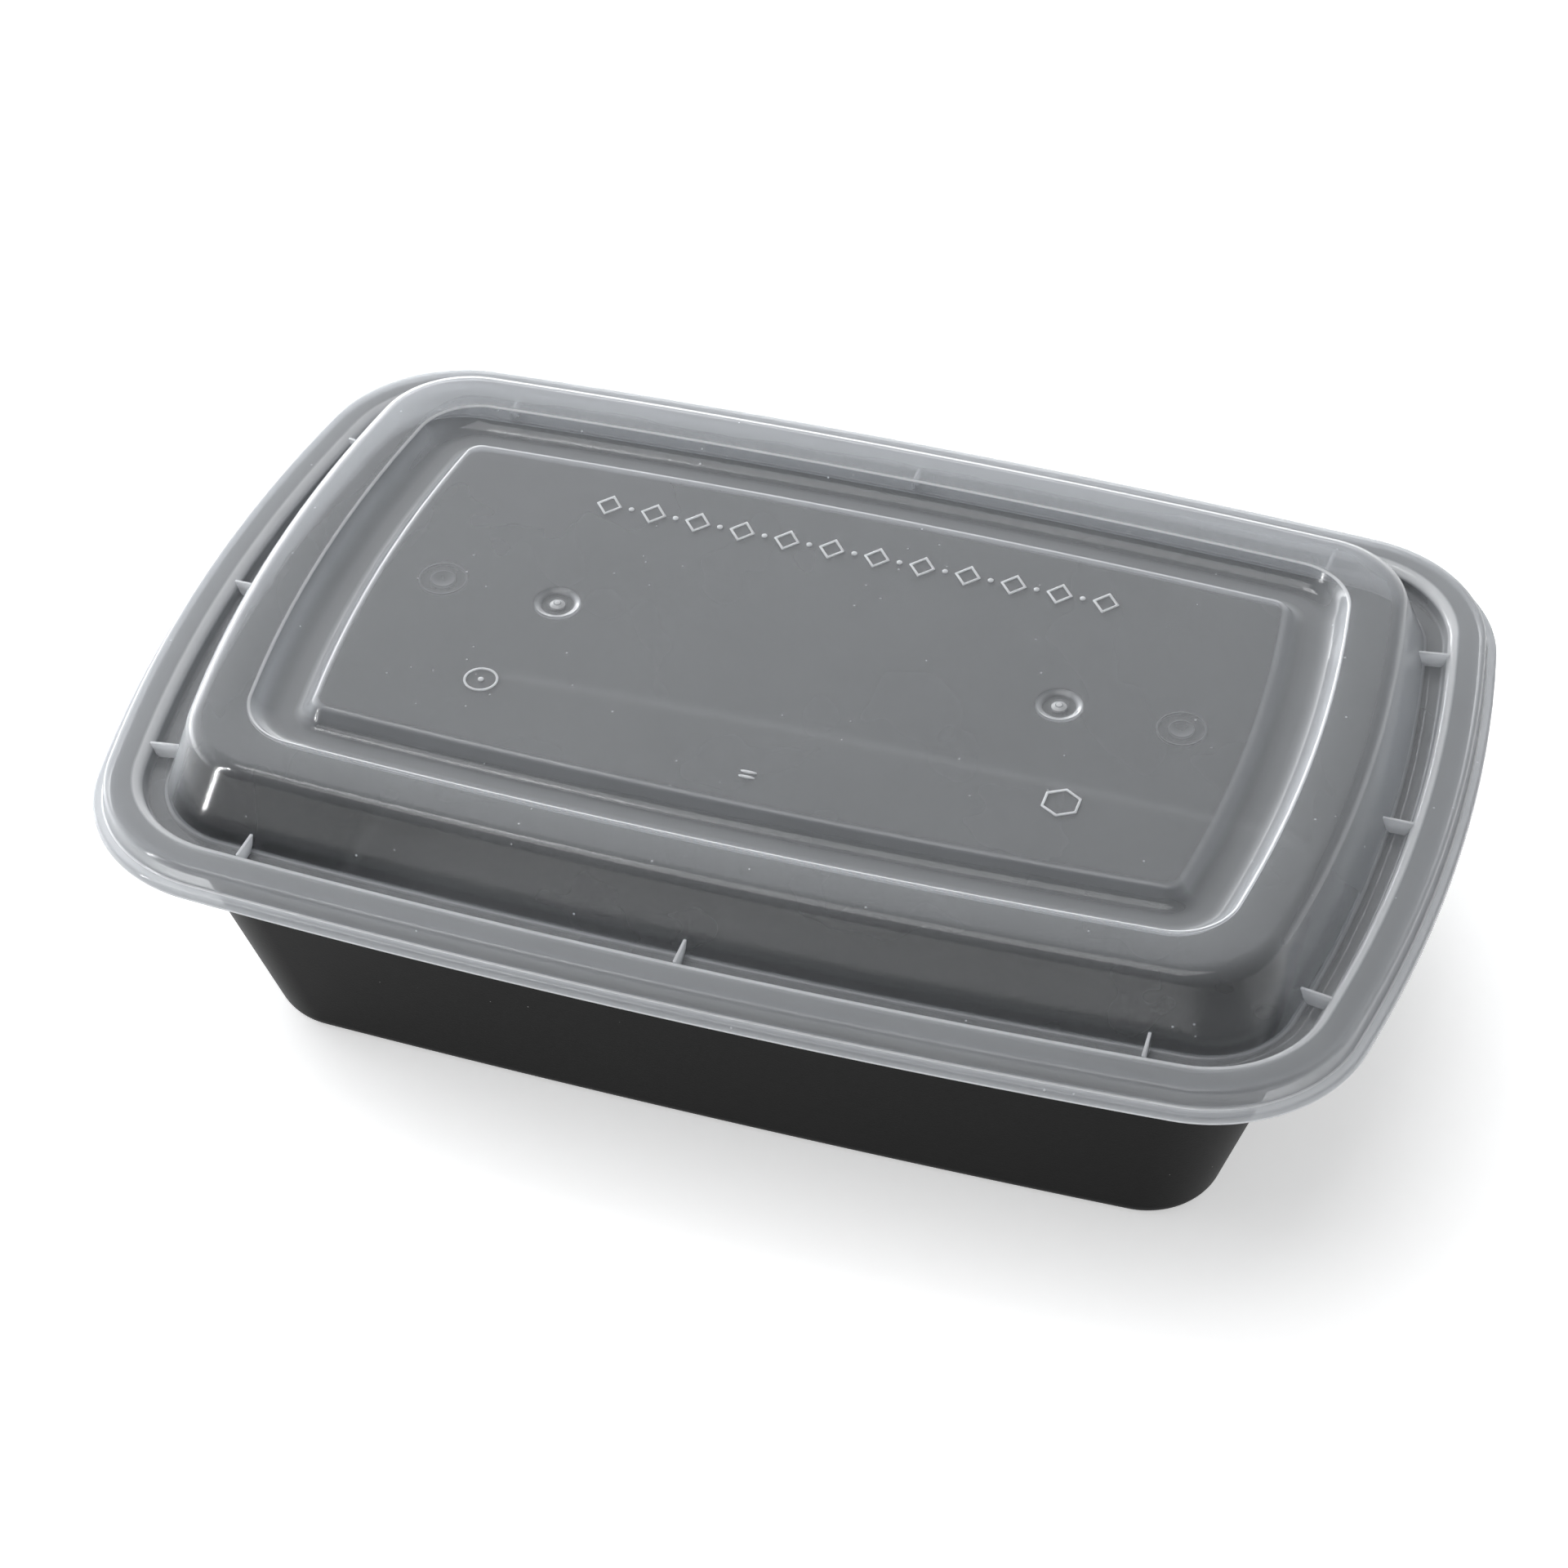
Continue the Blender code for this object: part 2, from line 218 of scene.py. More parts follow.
# The lid's plastic: how its milk hides what lies behind, more so at a slant, and its colours.
BARE_OPACITY = 0.02
MILK_OPACITY = 0.40
CLOUD_OPACITY = 0.1
SLANT_POWER = 2.5
LEAST_STRAIGHT = 0.12
LEAST_CLEAR = 0.03
SPECK_OPACITY = 0.9
# From how much milk the scattered light begins and ends turning white; along the folds that white is
# partly a painted highlight.
WHITENS_FROM = 0.8
WHITE_FROM = 1.5
LET_THROUGH = 0.55
STRAIGHT_SHEEN = 0.026
GLOSS_ROUGHNESS = 0.13
HAZY = (0.62, 0.637, 0.66, 1.0)
WHITE = (0.82, 0.83, 0.845, 1.0)
CLEAR = (0.95, 0.955, 0.962, 1.0)

# Where the lamps overhead aim, the thin lamp on the left, and where the studio is brightest.
MIDDLE = (0.0, 0.0, 0.04)
STRIP_PLACE = (-0.285, -0.204, 0.145)
STRIP_TARGET = (-0.08, -0.055, 0.145)
GLOW_FROM = (-0.75, 0.6, 0.45)
DIM_LIGHT = 0.25
GLOW = 2.0
LOW_GLOW = 40.0

# The camera looks from the near right, from above, at a slight roll.
CAMERA_AZIMUTH = math.radians(18.914)
CAMERA_ELEVATION = math.radians(41.84)
CAMERA_ROLL = math.radians(-0.959)
CAMERA_DISTANCE = 0.807308
CAMERA_RIGHT = -0.004534
CAMERA_UP = 0.044961
CAMERA_DROP = 0.026533
FOCAL_PIXELS = 5553.9
IMAGE_PIXELS = 1920
SENSOR = 36.0


def arc_radius(half_chord, bow):
    """Radius of an arc that rises by bow over a chord of twice half_chord."""
    return (half_chord**2 + bow**2) / (2.0 * bow)


END_RADIUS = arc_radius(HALF_WIDTH, END_BOW)
SIDE_RADIUS = arc_radius(HALF_LENGTH, SIDE_BOW)


def inset_station(inset, height, corner):
    """One ring of a shell: its half sizes, corner radius, end and side radii, and height."""
    return np.array(
        [
            HALF_LENGTH - inset,
            HALF_WIDTH - inset,
            corner,
            END_RADIUS - inset,
            SIDE_RADIUS - inset,
            height,
        ]
    )


def corner_centre(half_length, half_width, corner, end_radius, side_radius):
    """Centre of the corner arc, which touches the end arc and the side arc from inside."""
    end_centre = Vector((half_length - end_radius, 0.0))
    side_centre = Vector((0.0, half_width - side_radius))
    across = side_centre - end_centre
    gap = across.length
    from_end = end_radius - corner
    from_side = side_radius - corner
    along = (from_end**2 - from_side**2 + gap**2) / (2.0 * gap)
    off = math.sqrt(from_end**2 - along**2)
    unit = across / gap
    return end_centre + unit * along + Vector((-unit.y, unit.x)) * off


def arc_points(centre, radius, start, end, steps):
    """Points along an arc, without the last one, which starts the next arc."""
    x, y = centre
    turns = [start + (end - start) * step / steps for step in range(steps)]
    return [(x + radius * math.cos(turn), y + radius * math.sin(turn)) for turn in turns]


def outline(station):
    """The closed outline of one ring, counter-clockwise from the middle of the +X end."""
    half_length, half_width, corner, end_radius, side_radius, height = station
    centre = corner_centre(half_length, half_width, corner, end_radius, side_radius)
    end_centre = (half_length - end_radius, 0.0)
    side_centre = (0.0, half_width - side_radius)
    first = math.atan2(centre.y - end_centre[1], centre.x - end_centre[0])
    second = math.atan2(centre.y - side_centre[1], centre.x - side_centre[0])
    quarter = arc_points(end_centre, end_radius, 0.0, first, END_STEPS)
    quarter += arc_points(centre, corner, first, second, CORNER_STEPS)
    quarter += arc_points(side_centre, side_radius, second, math.pi / 2, SIDE_STEPS)
    top = (0.0, half_width)
    second_quarter = [(-x, y) for x, y in reversed(quarter[1:] + [top])]
    half = quarter + second_quarter + [(-half_length, 0.0)]
    other_half = [(x, -y) for x, y in reversed(half[1:-1])]
    return [Vector((x, y, height)) for x, y in half + other_half]


def profile_length(first, second):
    """Distance between two stations as the profile shows it: sideways and in height."""
    return math.hypot(first[0] - second[0], first[5] - second[5])


def rounded(corners):
    """Rings of a profile whose corners are rounded off, each with how milky the plastic is there, a
    painted highlight along the folds counted in.

    A corner is (station, cut, steps, milk and painted highlight of the fold, milk of the flat that
    follows)."""
    rings = [(corners[0][0], corners[0][4])]
    for before, corner, after in zip(corners, corners[1:], corners[2:]):
        station, cut, steps, fold_milk_and_highlight, next_milk = corner
        start = station + (before[0] - station) * cut / profile_length(station, before[0])
        end = station + (after[0] - station) * cut / profile_length(station, after[0])
        for step in range(steps + 1):
            part = step / steps
            ring = (1 - part) ** 2 * start + 2 * part * (1 - part) * station + part**2 * end
            flat_milk = before[4] * (1 - part) + next_milk * part
            rings.append((ring, flat_milk + fold_milk_and_highlight * math.sin(math.pi * part)))
    rings.append((corners[-1][0], corners[-1][4]))
    return rings


def turn_of(point):
    """Direction of a point from the middle, counted from just before the +X axis."""
    return (math.atan2(point.y, point.x) + 0.0001) % (2.0 * math.pi)


def start_piece(name):
    """The primitive just added becomes a named piece whose points say how milky they are, with the
    painted highlight of any fold counted in.
    """
    piece = bpy.context.object
    piece.name = name
    piece.data.name = name
    piece.data.attributes.new("milk_and_highlight", "FLOAT", "POINT")
    return piece


def cloud_chosen(piece, milk_and_highlight):
    """Sets how milky the plastic is at the chosen points, with the painted highlight of any fold
    counted in.
    """
    sheet = bmesh.from_edit_mesh(piece.data)
    layer = sheet.verts.layers.float["milk_and_highlight"]
    for vert in sheet.verts:
        if vert.select:
            vert[layer] = milk_and_highlight
    bmesh.update_edit_mesh(piece.data)


def lay_chosen(piece, station):
    """Lays the chosen loop of points on a ring's outline, in order round the middle."""
    sheet = bmesh.from_edit_mesh(piece.data)
    chosen = [vert for vert in sheet.verts if vert.select]
    chosen.sort(key=lambda vert: turn_of(vert.co))
    for vert, point in zip(chosen, sorted(outline(station), key=turn_of)):
        vert.co = point
    bmesh.update_edit_mesh(piece.data)


def draw_shell(name, rings, closed=False):
    """A sheet: each ring is extruded from the one before and laid on its outline.

    A closed one has its last ring filled with a flat."""
    bpy.ops.object.select_all(action="DESELECT")
    points = 4 * (END_STEPS + CORNER_STEPS + SIDE_STEPS)
    bpy.ops.mesh.primitive_circle_add(vertices=points, radius=HALF_LENGTH)
    shell = start_piece(name)
    bpy.ops.object.mode_set(mode="EDIT")
    lay_chosen(shell, rings[0][0])
    cloud_chosen(shell, rings[0][1])
    for station, milk_and_highlight in rings[1:]:
        bpy.ops.mesh.extrude_region_move()
        lay_chosen(shell, station)
        cloud_chosen(shell, milk_and_highlight)
    if closed:
        bpy.ops.mesh.edge_face_add()
    bpy.ops.object.mode_set(mode="OBJECT")
    return shell


def draw_round(name, x, profile):
    """A round dish or ridge standing at x, drawn ring by ring inwards to its closed middle."""
    bpy.ops.object.select_all(action="DESELECT")
    radius, height, milk_and_highlight = profile[0]
    place = (x, 0.0, height)
    bpy.ops.mesh.primitive_circle_add(vertices=ROUND_STEPS, radius=radius, location=place)
    piece = start_piece(name)
    bpy.ops.object.mode_set(mode="EDIT")
    cloud_chosen(piece, milk_and_highlight)
    for next_radius, next_height, milk_and_highlight in profile[1:]:
        rise = (0.0, 0.0, next_height - height)
        bpy.ops.mesh.extrude_region_move(TRANSFORM_OT_translate={"value": rise})
        scale = next_radius / radius
        bpy.ops.transform.resize(value=(scale, scale, 1.0), center_override=(x, 0.0, next_height))
        cloud_chosen(piece, milk_and_highlight)
        radius, height = next_radius, next_height
    bpy.ops.mesh.merge(type="CENTER")
    bpy.ops.object.mode_set(mode="OBJECT")
    return piece


def join_pieces(pieces):
    """Joins pieces into the first one."""
    bpy.ops.object.select_all(action="DESELECT")
    for piece in pieces:
        piece.select_set(True)
    bpy.context.view_layer.objects.active = pieces[0]
    if len(pieces) > 1:
        bpy.ops.object.join()
    bpy.ops.object.transform_apply(location=True, rotation=True, scale=True)
    return pieces[0]


def fill_between(shell, lowest):
    """Fills the flat between the open loops that lie above lowest."""
    bpy.context.view_layer.objects.active = shell
    bpy.ops.object.mode_set(mode="EDIT")
    bpy.ops.mesh.select_mode(type="EDGE")
    bpy.ops.mesh.select_all(action="DESELECT")
    sheet = bmesh.from_edit_mesh(shell.data)
    for edge in sheet.edges:
        if edge.is_boundary and min(vert.co.z for vert in edge.verts) > lowest:
            edge.select = True
    bmesh.update_edit_mesh(shell.data)
    bpy.ops.mesh.fill(use_beauty=True)
    bpy.ops.object.mode_set(mode="OBJECT")


def face_up(shell):
    """Turns a sheet's faces one way, with those on top looking up."""
    bpy.context.view_layer.objects.active = shell
    bpy.ops.object.mode_set(mode="EDIT")
    bpy.ops.mesh.select_all(action="SELECT")
    bpy.ops.mesh.normals_make_consistent(inside=False)
    bpy.ops.object.mode_set(mode="OBJECT")
    highest = max(shell.data.polygons, key=lambda face: face.center.z)
    if highest.normal.z < 0.0:
        shell.data.flip_normals()


def add_modifier(piece, kind, **settings):
    """Adds a modifier with its settings and applies it."""
    bpy.context.view_layer.objects.active = piece
    modifier = piece.modifiers.new(kind.title(), kind)
    for name, value in settings.items():
        setattr(modifier, name, value)
    bpy.ops.object.modifier_apply(modifier=modifier.name)


def thicken(shell, wall):
    """Gives a sheet its wall, below it, and takes the sharpness off its cut edge.

    The new surface takes the sheet's second material, if it has two."""
    add_modifier(
        shell,
        "SOLIDIFY",
        thickness=wall,
        offset=-1.0,
        use_even_offset=True,
        material_offset=1,
        material_offset_rim=1,
    )
    add_modifier(
        shell,
        "BEVEL",
        width=CUT_EDGE,
        segments=2,
        limit_method="ANGLE",
        angle_limit=CUT_ANGLE,
    )


def smooth(piece):
    bpy.ops.object.select_all(action="DESELECT")
    piece.select_set(True)
    bpy.context.view_layer.objects.active = piece
    bpy.ops.object.shade_smooth_by_angle(angle=SMOOTH_ANGLE)


def lid_rings():
    """The lid's rings, from its lower edge to a little way into the panel.

    A corner is (inset, height, radius, cut, steps, milk and painted highlight of the fold, milk of
    the next flat)."""
    lip, rim_outer = CORNER - LIP_WIDTH, CORNER - RIM_OUTER_INSET
    rim_inner, moat = CORNER - RIM_INNER_INSET, CORNER - MOAT_OUTER_INSET
    band_top = LID_EDGE_HEIGHT + EDGE_BAND
    corners = [
        (0.0, LID_EDGE_HEIGHT, CORNER, 0.0, 1, 0.0, EDGE_MILK),
        (0.0, band_top, CORNER, EDGE_BAND / 3, 1, 0.0, LIP_MILK),
        (0.0, LIP_HEIGHT, CORNER, LIP_CUT, 4, LIP_FOLD, LIP_MILK),
        (LIP_WIDTH, LIP_HEIGHT, lip, STEP_CUT, 4, STEP_FOLD, SKIRT_MILK),
        (RIM_OUTER_INSET, RIM_HEIGHT, rim_outer, RIM_OUTER_CUT, 6, RIM_OUTER_FOLD, RIM_MILK),
        (RIM_INNER_INSET, RIM_HEIGHT, rim_inner, RIM_INNER_CUT, 7, RIM_INNER_FOLD, MOAT_MILK),
        (MOAT_OUTER_INSET, MOAT_HEIGHT, moat, MOAT_CUT, 4, MOAT_FOLD, MOAT_MILK),
        (DOME_FOOT_INSET, MOAT_HEIGHT, DOME_FOOT_CORNER, DOME_FOOT_CUT, 4, DOME_FOOT_FOLD, WALL_MILK),
        (SHOULDER_INSET, TOTAL_HEIGHT, SHOULDER_CORNER, SHOULDER_CUT, 8, SHOULDER_FOLD, FLAT_MILK),
        (
            SHOULDER_INNER_INSET, TOTAL_HEIGHT, SHOULDER_INNER_CORNER,
            SHOULDER_INNER_CUT, 4, SHOULDER_INNER_FOLD, CHANNEL_WALL_MILK,
        ),
        (
            CHANNEL_OUTER_INSET, CHANNEL_HEIGHT, CHANNEL_OUTER_CORNER,
            CHANNEL_OUTER_CUT, 6, 0.0, CHANNEL_MILK,
        ),
        (
            CHANNEL_INNER_INSET, CHANNEL_HEIGHT, CHANNEL_INNER_CORNER,
            CHANNEL_INNER_CUT, 6, 0.0, PANEL_WALL_MILK,
        ),
        (PANEL_INSET, PANEL_HEIGHT, PANEL_CORNER, PANEL_CUT, 8, PANEL_FOLD, FLAT_MILK),
        (PANEL_INSET + PANEL_MARGIN, PANEL_HEIGHT, PANEL_CORNER, 0.0, 1, 0.0, FLAT_MILK),
    ]
    return rounded([(inset_station(*corner[:3]), *corner[3:]) for corner in corners])


def soft_step(first, second, steps, fold_milk_and_highlight):
    """Rings of a turned profile from one (radius, height) to another, level at both ends."""
    rings = []
    for step in range(steps + 1):
        part = step / steps
        ease = part * part * (3.0 - 2.0 * part)
        radius = first[0] + (second[0] - first[0]) * part
        height = first[1] + (second[1] - first[1]) * ease
        rings.append((radius, height, FLAT_MILK + fold_milk_and_highlight * math.sin(math.pi * part)))
    return rings


def recess_profile():
    """A round dish with the gate's nub in its middle, as (radius, height, milk)."""
    floor = PANEL_HEIGHT - RECESS_DEPTH
    tip = floor + NUB_HEIGHT
    around = [(RECESS_RADIUS + ROUND_MARGIN, PANEL_HEIGHT, FLAT_MILK)]
    wall_top = (RECESS_RADIUS + RECESS_TOP_SPREAD, PANEL_HEIGHT)
    wall_foot = (RECESS_FLOOR_RADIUS - RECESS_FOOT_SPREAD, floor)
    wall = soft_step(wall_top, wall_foot, 8, RECESS_FOLD)
    nub = soft_step((NUB_RADIUS + NUB_FOOT_SPREAD, floor), (NUB_TIP_RADIUS, tip), 6, NUB_MILK)
    crown = [(NUB_TIP_RADIUS * share, tip + rise, NUB_MILK) for share, rise in NUB_CROWN]
    return around + wall + nub + crown


def pin_profile():
    """Two concentric ridges that hardly stand out of the panel."""
    profile = [(PIN_OUTER_RADIUS + ROUND_MARGIN, PANEL_HEIGHT, FLAT_MILK)]
    for radius in (PIN_OUTER_RADIUS, PIN_INNER_RADIUS):
        outer = (radius + PIN_RIDGE_WIDTH / 2, PANEL_HEIGHT)
        crest = (radius, PANEL_HEIGHT + PIN_RIDGE_HEIGHT)
        inner = (radius - PIN_RIDGE_WIDTH / 2, PANEL_HEIGHT)
        profile += soft_step(outer, crest, 3, PIN_FOLD) + soft_step(crest, inner, 3, PIN_FOLD)[1:]
    return profile


def make_lid():
    parts = [draw_shell("lid_shell", lid_rings())]
    for x in (-RECESS_X, RECESS_X):
        parts.append(draw_round("recess", x, recess_profile()))
    for x in (-PIN_X, PIN_X):
        parts.append(draw_round("pin_circle", x, pin_profile()))
    lid = join_pieces(parts)
    fill_between(lid, PANEL_HEIGHT - PANEL_CUT)
    face_up(lid)
    thicken(lid, LID_WALL)
    smooth(lid)
    return lid


def dome_wall(height):
    """Inset of the dome's sloping wall at a height."""
    rise = (height - MOAT_HEIGHT) / (TOTAL_HEIGHT - MOAT_HEIGHT)
    return DOME_FOOT_INSET + (SHOULDER_INSET - DOME_FOOT_INSET) * rise


def rim_wall(height):
    """Inset of the rim's inner wall at a height."""
    rise = (height - MOAT_HEIGHT) / (RIM_HEIGHT - MOAT_HEIGHT)
    return MOAT_OUTER_INSET + (RIM_INNER_INSET - MOAT_OUTER_INSET) * rise


def draw_rib():
    """One gusset plate, standing along X with the lid's outline at X = 0."""
    top = RIM_HEIGHT - RIB_DROP
    bottom = MOAT_HEIGHT - RIB_BITE
    foot = MOAT_HEIGHT + RIB_FOOT
    plate = [
        (-rim_wall(top) + RIB_BITE, top),
        (-rim_wall(foot) + RIB_BITE, foot),
        (-MOAT_OUTER_INSET - MOAT_CUT, bottom),
        (-DOME_FOOT_INSET + DOME_FOOT_CUT, bottom),
        (-dome_wall(foot) - RIB_BITE, foot),
        (-dome_wall(top) - RIB_BITE, top),
    ]
    bpy.ops.object.select_all(action="DESELECT")
    bpy.ops.mesh.primitive_circle_add(vertices=len(plate), fill_type="NGON")
    rib = start_piece("lid_ribs")
    for vert, (x, height) in zip(rib.data.vertices, plate):
        vert.co = (x, -RIB_THICKNESS / 2, height)
    bpy.ops.object.mode_set(mode="EDIT")
    bpy.ops.mesh.select_all(action="SELECT")
    bpy.ops.mesh.extrude_region_move(TRANSFORM_OT_translate={"value": (0.0, RIB_THICKNESS, 0.0)})
    bpy.ops.mesh.select_all(action="SELECT")
    cloud_chosen(rib, RIB_MILK)
    bpy.ops.mesh.normals_make_consistent(inside=False)
    bpy.ops.mesh.bevel(offset=RIB_EDGE, segments=2, affect="EDGES")
    bpy.ops.object.mode_set(mode="OBJECT")
    return rib


def copy_piece(piece, matrix):
    """A copy with its own mesh, moved to its place."""
    copy = piece.copy()
    copy.data = piece.data.copy()
    copy.data.transform(matrix)
    bpy.context.scene.collection.objects.link(copy)
    return copy


def rib_places():
    """Three gussets on each of the four sides, square to the bowed rim."""
    end_middle = Matrix.Translation((HALF_LENGTH - END_RADIUS, 0.0, 0.0))
    side_middle = Matrix.Translation((0.0, HALF_WIDTH - SIDE_RADIUS, 0.0))
    to_end = Matrix.Translation((END_RADIUS, 0.0, 0.0))
    to_side = Matrix.Translation((SIDE_RADIUS, 0.0, 0.0))
    for half_turn in (Matrix.Identity(4), Matrix.Rotation(math.pi, 4, "Z")):
        for y in (-END_RIB_Y, 0.0, END_RIB_Y):
            lean = Matrix.Rotation(math.asin(y / (END_RADIUS - RIM_INNER_INSET)), 4, "Z")
            yield half_turn @ end_middle @ lean @ to_end
        for x in (-SIDE_RIB_X, 0.0, SIDE_RIB_X):
            lean = math.pi / 2 - math.asin(x / (SIDE_RADIUS - RIM_INNER_INSET))
            turn = Matrix.Rotation(lean, 4, "Z")
            yield half_turn @ side_middle @ turn @ to_side


def make_ribs():
    rib = draw_rib()
    ribs = [copy_piece(rib, matrix) for matrix in rib_places()]
    bpy.data.objects.remove(rib)
    joined = join_pieces(ribs)
    joined.name = "lid_ribs"
    smooth(joined)
    return joined


def draw_outline_mark(name, sides, half_length, half_width):
    """A raised outline with that many sides, lying on the panel round its middle."""
    bpy.ops.object.select_all(action="DESELECT")
    bottom = PANEL_HEIGHT - MARK_BITE
    bpy.ops.mesh.primitive_circle_add(
        vertices=sides, radius=1.0, fill_type="NGON", location=(0.0, 0.0, bottom)
    )
    mark = start_piece(name)
    mark.scale = (half_length, half_width, 1.0)
    bpy.ops.object.transform_apply(location=True, scale=True)
    bpy.ops.object.mode_set(mode="EDIT")
    bpy.ops.mesh.select_all(action="SELECT")
    bpy.ops.mesh.inset(thickness=MARK_STROKE, use_even_offset=True)
    bpy.ops.mesh.delete(type="FACE")
    bpy.ops.mesh.select_all(action="SELECT")
    rise = (0.0, 0.0, MARK_HEIGHT + MARK_BITE)
    bpy.ops.mesh.extrude_region_move(TRANSFORM_OT_translate={"value": rise})
    bpy.ops.mesh.select_all(action="SELECT")
    cloud_chosen(mark, MARK_MILK)
    bpy.ops.mesh.normals_make_consistent(inside=False)
    bpy.ops.object.mode_set(mode="OBJECT")
    round_top(mark)
    return mark


def draw_stud(name, half_length, half_width):
    """A small raised button or bar."""
    bpy.ops.object.select_all(action="DESELECT")
    middle = PANEL_HEIGHT + (MARK_HEIGHT - MARK_BITE) / 2
    bpy.ops.mesh.primitive_cylinder_add(
        vertices=16, radius=1.0, depth=MARK_HEIGHT + MARK_BITE, location=(0.0, 0.0, middle)
    )
    stud = start_piece(name)
    stud.scale = (half_length, half_width, 1.0)
    bpy.ops.object.transform_apply(location=True, scale=True)
    bpy.ops.object.mode_set(mode="EDIT")
    bpy.ops.mesh.select_all(action="SELECT")
    cloud_chosen(stud, MARK_MILK)
    bpy.ops.object.mode_set(mode="OBJECT")
    round_top(stud)
    return stud


def round_top(mark):
    """Takes the sharpness off a raised mark's edges."""
    add_modifier(
        mark,
        "BEVEL",
        width=MARK_EDGE,
        segments=2,
        limit_method="ANGLE",
        angle_limit=MARK_ANGLE,
    )


def make_marks():
    """The raised marks that stand on the panel."""
    lozenge = draw_outline_mark("lozenge", 4, LOZENGE_HALF_LENGTH, LOZENGE_HALF_WIDTH)
    stud = draw_stud("stud", STUD_RADIUS, STUD_RADIUS)
    ring = draw_outline_mark("ring", 28, RING_RADIUS, RING_RADIUS)
    hexagon = draw_outline_mark("hexagon", 6, HEXAGON_RADIUS, HEXAGON_RADIUS)
    bar = draw_stud("bar", BAR_HALF_LENGTH, BAR_HALF_WIDTH)
    marks = []
    pitch = 2.0 * BORDER_HALF / (BORDER_LOZENGES - 1)
    for number in range(BORDER_LOZENGES):
        x = -BORDER_HALF + number * pitch
        marks.append(copy_piece(lozenge, Matrix.Translation((x, BORDER_Y, 0.0))))
        if number < BORDER_LOZENGES - 1:
            marks.append(copy_piece(stud, Matrix.Translation((x + pitch / 2, BORDER_Y, 0.0))))
    signs = [(ring, RING_PLACE), (stud, RING_PLACE), (hexagon, HEXAGON_PLACE)]
    signs += [(bar, place) for place in BAR_PLACES]
    for pattern, place in signs:
        marks.append(copy_piece(pattern, Matrix.Translation(place)))
    for pattern in (lozenge, stud, ring, hexagon, bar):
        bpy.data.objects.remove(pattern)
    joined = join_pieces(marks)
    joined.name = "lid_marks"
    smooth(joined)
    return joined


def tray_rings():
    """The rings of the tray's inner surface, from its lip to a little way into its floor."""
    floor = np.array(
        [
            FLOOR_HALF_LENGTH,
            FLOOR_HALF_WIDTH,
            FLOOR_CORNER,
            arc_radius(FLOOR_HALF_WIDTH, FLOOR_END_BOW),
            arc_radius(FLOOR_HALF_LENGTH, FLOOR_SIDE_BOW),
            TRAY_WALL,
        ]
    )
    inner_floor = floor.copy()
    inner_floor[:3] -= FLOOR_MARGIN
    lip = CORNER - TRAY_LIP_INSET
    neck = CORNER - NECK_INSET
    ledge = CORNER - LEDGE_OUTER_INSET
    corners = [
        (inset_station(TRAY_LIP_INSET, FLANGE_HEIGHT - TRAY_LIP_DROP, lip), 0.0, 1),
        (inset_station(TRAY_LIP_INSET, FLANGE_HEIGHT, lip), TRAY_LIP_CUT, 5),
        (inset_station(NECK_INSET, FLANGE_HEIGHT, neck), NECK_CUT, 5),
        (inset_station(LEDGE_OUTER_INSET, LEDGE_HEIGHT, ledge), LEDGE_OUTER_CUT, 4),
        (inset_station(LEDGE_INNER_INSET, LEDGE_HEIGHT, LEDGE_INNER_CORNER), LEDGE_INNER_CUT, 5),
        (floor, FLOOR_CUT, 10),
        (inner_floor, 0.0, 1),
    ]
    return rounded([corner + (0.0, 0.0) for corner in corners])


def make_tray():
    """The tray, smoother inside, where the mould's core is polished."""
    tray = draw_shell("tray_shell", tray_rings(), closed=True)
    face_up(tray)
    tray.data.materials.append(satin_black("satin_black_inside", roughness=0.24, sheen=0.45))
    tray.data.materials.append(satin_black("satin_black_outside", roughness=0.38, sheen=0.045))
    thicken(tray, TRAY_WALL)
    smooth(tray)
    return tray


class Signal:
    """A shader value. Sums on it add the Math nodes that work them out."""

    def __init__(self, finish, socket):
        self.finish = finish
        self.socket = socket

    def sum(self, operation, *values):
        inputs = dict(enumerate(values))
        return self.finish.part("ShaderNodeMath", {"operation": operation}, inputs)

    def __add__(self, other):
        return self.sum("ADD", self, other)

    def __rsub__(self, other):
        return self.sum("SUBTRACT", other, self)

    def __mul__(self, other):
        return self.sum("MULTIPLY", self, other)

    def __rtruediv__(self, other):
        return self.sum("DIVIDE", other, self)

    def __pow__(self, other):
        return self.sum("POWER", self, other)

    def __lt__(self, other):
        return self.sum("LESS_THAN", self, other)

    def twin(self, output):
        """Another output of the node that this value comes from."""
        return Signal(self.finish, self.socket.node.outputs[output])

    def at_least(self, other):
        return self.sum("MAXIMUM", self, other)

    __radd__ = __add__
    __rmul__ = __mul__


